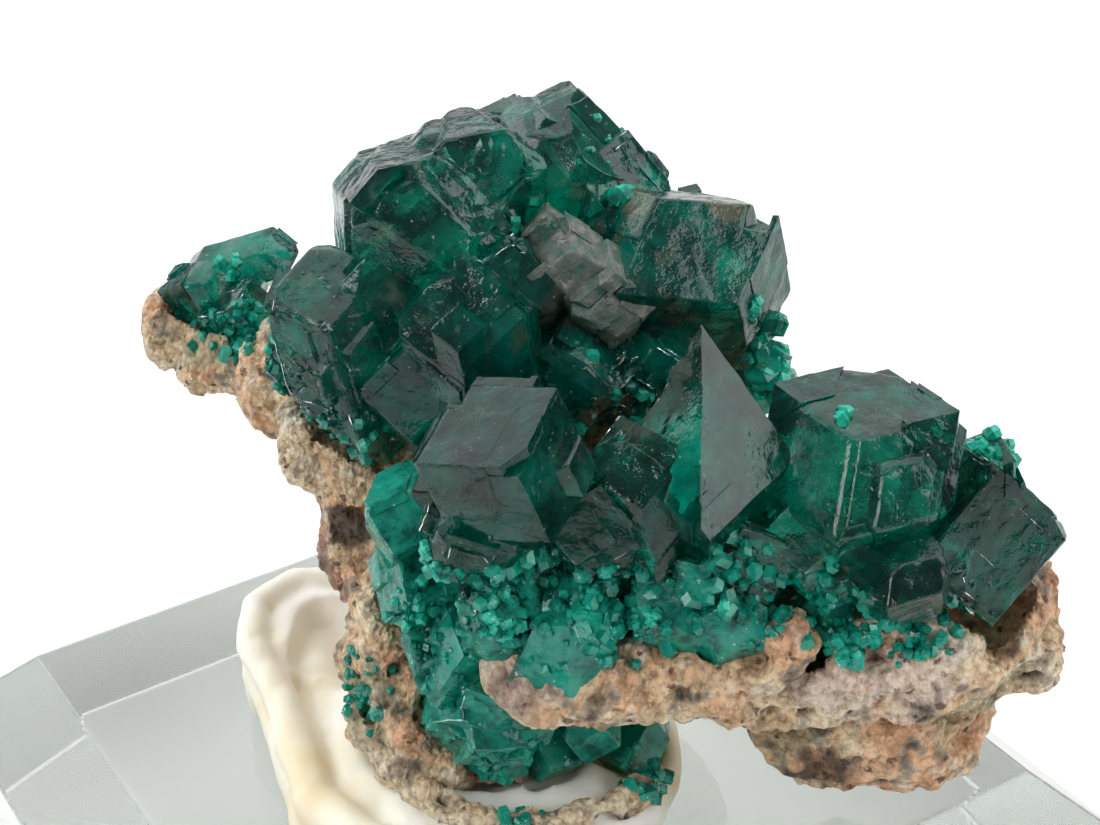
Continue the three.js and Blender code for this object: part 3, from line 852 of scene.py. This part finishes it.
# The putty's thin rim, pressed up at the left and curling round to the front
RIM = [
    ((-5.4, 5.2, 14.6), 0.5),
    ((-7.6, 4.6, 15.0), 0.5),
    ((-9.0, 2.8, 15.2), 0.5),
    ((-8.9, 0.8, 14.8), 0.6),
    ((-7.7, -1.6, 14.2), 0.7),
    ((-6.9, -4.0, 13.8), 0.8),
    ((-6.2, -6.6, 13.7), 0.8),
    ((-4.6, -8.6, 13.7), 0.8),
    ((-2.0, -9.6, 13.6), 0.8),
    ((2.0, -9.4, 13.4), 0.7),
    ((5.0, -6.8, 13.0), 0.6),
]
wall = balls([((x * 0.985, y, z - 1.2), r * 1.25) for (x, y, z), r in RIM])
bed = balls([((-7.2, 3.6, 12.7), 1.3), ((-6.8, 0.4, 12.7), 1.4), ((-5.2, -4.6, 12.8), 1.3)])
putty = joined_copy("pressed_putty", "putty", [balls(RIM), wall, bed], 0.16, 7)
roughen(putty, [(2.2, 0.16, "hills"), (0.7, 0.05, "hills")])
points, _ = points_of(putty.data)
points[:, 2] = np.maximum(points[:, 2], 12.02 * MM)
putty.data.vertices.foreach_set("co", points.ravel())
putty.data.shade_smooth()
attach(putty, "root")
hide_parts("putty")
dress(putty, putty_material())

block = mesh_object("clear_block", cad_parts["acrylic_base"].data.copy())
whole = bmesh.new()
whole.from_mesh(block.data)
bmesh.ops.remove_doubles(whole, verts=whole.verts, dist=1e-6)
bmesh.ops.dissolve_limit(whole, angle_limit=0.01, verts=whole.verts, edges=whole.edges)
whole.to_mesh(block.data)
whole.free()
edges = block.modifiers.new("edges", "BEVEL")
edges.width = 0.15 * MM
edges.segments = 3
edges.limit_method = "ANGLE"
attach(block, "root")
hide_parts("acrylic_base")
dress(block, acrylic_material())


# ---------------------------------------------------------------- small crystals
def surface_of(pieces):
    """Triangle corners and areas of some pieces' meshes."""
    corners = []
    for piece in pieces:
        mesh = piece.data
        mesh.calc_loop_triangles()
        at = np.empty(len(mesh.vertices) * 3)
        mesh.vertices.foreach_get("co", at)
        index = np.empty(len(mesh.loop_triangles) * 3, dtype=int)
        mesh.loop_triangles.foreach_get("vertices", index)
        corners.append(at.reshape(-1, 3)[index.reshape(-1, 3)])
    corners = np.concatenate(corners)
    normal = np.cross(corners[:, 1] - corners[:, 0], corners[:, 2] - corners[:, 0])
    area = np.linalg.norm(normal, axis=1) / 2
    return corners, normal / (2 * area[:, None] + 1e-15), area


def sprinkle(name, pieces, patches, seed, look):
    """Tiny crystals grown over patches: centre, radius, number, smallest and largest width."""
    corners, normals, areas = surface_of(pieces)
    middle = corners.mean(axis=1)
    draw = np.random.default_rng(seed)
    verts, faces = [], []
    ring = [(math.cos(math.radians(60 * k)), math.sin(math.radians(60 * k))) for k in range(6)]
    for at, radius, count, small, large in patches:
        away = np.linalg.norm(middle - np.array(PLACE @ Vector(at)), axis=1) / (radius * MM)
        weight = areas * (away < 1) * (1.1 - away)
        if weight.sum() <= 0:
            continue
        for pick in draw.choice(len(areas), count, p=weight / weight.sum()):
            a, b = sorted(draw.random(2))
            p = corners[pick, 0] * a + corners[pick, 1] * (b - a) + corners[pick, 2] * (1 - b)
            axis = Vector(normals[pick] + draw.normal(0, 0.45, 3)).normalized()
            width = draw.uniform(small, large) * MM
            length = width * draw.uniform(0.4, 1.2)
            turn = axis.to_track_quat("Z", "Y") @ Quaternion((0, 0, 1), draw.uniform(0, 2))
            base = len(verts)
            for lift in (-0.4 * width, length * 0.6):
                for k, (x, y) in enumerate(ring):
                    drop = 0 if lift < 0 else -width * 0.22 * (k % 2)
                    verts.append(Vector(p) + turn @ Vector((x * width / 2, y * width / 2, lift + drop)))
            verts.append(Vector(p) + turn @ Vector((0, 0, length * 0.6 + width * 0.22)))
            verts.append(Vector(p) + turn @ Vector((0, 0, -0.4 * width)))
            for k in range(6):
                j = (k + 1) % 6
                faces.append((base + k, base + j, base + 6 + j, base + 6 + k))
                faces.append((base + j, base + k, base + 13))
            for k in (1, 3, 5):
                faces.append((base + 6 + k, base + 6 + (k + 1) % 6, base + 12, base + 6 + (k - 1) % 6))
    mesh = bpy.data.meshes.new(name)
    mesh.from_pydata(verts, [], faces)
    mesh.shade_flat()
    piece = mesh_object(name, mesh)
    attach(piece, "root")
    dress(piece, look)
    return piece


sprinkle(
    "front_druse",
    [front, bowl, rock],
    [
        ((-1.4, -8.8, 23.2), 1.8, 60, 0.15, 0.5),
        ((1.4, -9.8, 23.4), 2.2, 100, 0.15, 0.6),
        ((4.4, -9.8, 23.0), 2.0, 110, 0.15, 0.55),
        ((7.6, -10.0, 23.6), 1.9, 90, 0.15, 0.55),
        ((10.6, -9.4, 22.6), 2.0, 80, 0.15, 0.5),
        ((13.4, -8.8, 21.4), 1.6, 50, 0.15, 0.45),
        ((-2.0, -7.8, 20.4), 2.0, 40, 0.15, 0.4),
        ((0.6, -8.8, 15.8), 1.8, 30, 0.2, 0.5),
        ((4.6, -7.4, 15.0), 1.2, 30, 0.2, 0.5),
        ((-4.2, -5.6, 17.4), 1.6, 60, 0.15, 0.4),
        ((12.8, -9.6, 21.0), 1.0, 14, 0.15, 0.4),
    ],
    21,
    SPRINKLED,
)
sprinkle(
    "upper_druse",
    [upper, rock],
    [
        ((9.8, 0.2, 25.8), 1.5, 60, 0.4, 1.0),
        ((4.7, 1.4, 31.5), 0.5, 5, 0.3, 0.6),
        ((4.8, 2.6, 33.0), 2.0, 9, 0.15, 0.4),
        ((3.4, -1.2, 29.2), 1.8, 8, 0.15, 0.35),
        ((1.6, 0.4, 30.6), 1.6, 8, 0.15, 0.4),
        ((-6.2, -1.0, 26.6), 2.4, 12, 0.15, 0.45),
        ((4.4, -3.2, 26.4), 2.6, 16, 0.2, 0.5),
        ((-4.0, -2.6, 24.4), 2.0, 16, 0.2, 0.5),
    ],
    22,
    SPRINKLED,
)
sprinkle(
    "left_druse",
    [left, rock],
    [((-8.6, 4.8, 25.6), 1.4, 24, 0.2, 0.5), ((-9.8, 5.2, 25.0), 1.0, 8, 0.2, 0.4)],
    23,
    SPRINKLED,
)
# Tiny crystals at the glow spots, in the teal with the most painted glow.
sprinkle(
    "teal_specks",
    [upper, front, bowl, left, rock],
    [
        ((4.7, 1.6, 31.4), 0.45, 9, 0.3, 0.55),
        ((8.8, -1.2, 28.3), 0.4, 6, 0.25, 0.5),
        ((10.6, -7.7, 28.1), 0.35, 5, 0.3, 0.45),
        ((-8.8, 6.8, 26.9), 0.4, 5, 0.3, 0.5),
        ((9.8, 0.1, 25.8), 1.3, 50, 0.25, 0.6),
        ((16.5, -3.2, 24.6), 1.4, 20, 0.2, 0.5),
        ((-1.6, -9.2, 24.2), 1.0, 30, 0.15, 0.45),
        ((0.4, -9.8, 23.0), 0.9, 34, 0.15, 0.45),
        ((2.6, -9.9, 23.8), 0.8, 30, 0.15, 0.45),
        ((4.4, -9.9, 22.6), 0.8, 30, 0.15, 0.4),
        ((7.2, -10.4, 24.0), 0.8, 26, 0.15, 0.4),
        ((10.8, -9.4, 21.4), 1.0, 24, 0.15, 0.45),
        ((11.0, -9.8, 21.6), 0.9, 40, 0.2, 0.45),
        ((13.0, -9.4, 20.9), 0.6, 8, 0.2, 0.4),
        ((-2.4, -7.2, 21.8), 1.0, 18, 0.15, 0.45),
        ((-6.6, -0.4, 27.6), 1.0, 6, 0.2, 0.5),
    ],
    24,
    TEAL,
)


# ---------------------------------------------------------------- floor, light and camera
bpy.ops.mesh.primitive_plane_add(size=3, location=(0, 0, -0.00003))
floor = bpy.context.object
floor.name = "pale_floor"
dress(floor, floor_material())

world = bpy.data.worlds.new("soft_room")
bpy.context.scene.world = world
world.use_nodes = True
world.node_tree.nodes["Background"].inputs["Color"].default_value = (1, 1, 1, 1)
world.node_tree.nodes["Background"].inputs["Strength"].default_value = 0.16


def soft_light(name, place, target, size, power):
    data = bpy.data.lights.new(name, "AREA")
    data.size = size
    data.energy = power
    lamp = bpy.data.objects.new(name, data)
    lamp.location = place
    aim = Vector(target) - Vector(place)
    lamp.rotation_euler = aim.to_track_quat("-Z", "Y").to_euler()
    bpy.context.collection.objects.link(lamp)
    return lamp


ROW = Matrix.Rotation(math.radians(-30), 3, "Z")
soft_light("overhead", ROW @ Vector((-0.04, 0.2, 0.3)), ROW @ Vector((0, 0.03, 0.02)), 0.66, 2.2)
soft_light("right_window", ROW @ Vector((0.36, -0.1, 0.24)), (0, 0, 0.02), 0.36, 1.25)
soft_light("front_fill", ROW @ Vector((-0.34, -0.26, 0.3)), (0, 0, 0.02), 0.24, 1.1)
soft_light("left_window", ROW @ Vector((-0.28, 0.12, 0.14)), (0, 0, 0.02), 0.2, 0.22)

scene = bpy.context.scene
scene.view_settings.view_transform = "Standard"
scene.cycles.max_bounces = 8
scene.cycles.transmission_bounces = 8
scene.cycles.glossy_bounces = 8

camera = bpy.data.cameras.new("camera")
camera.sensor_width = 36
camera.lens = 36 * 2161.4 / 1100
camera.clip_start = 0.001
eye = bpy.data.objects.new("camera", camera)
right = ROW @ Vector((0.999, -0.026, -0.045))
up = ROW @ Vector((0.052, 0.503, 0.863))
ahead = ROW @ Vector((0, 0.864, -0.504))
ahead.normalize()
right = (right - ahead * right.dot(ahead)).normalized()
up = right.cross(ahead)
turn = Matrix((right, up, -ahead)).transposed().to_4x4()
eye.matrix_world = Matrix.Translation(ROW @ (Vector((2.16, -61.82, 60.31)) * MM)) @ turn
bpy.context.collection.objects.link(eye)
bpy.context.scene.camera = eye
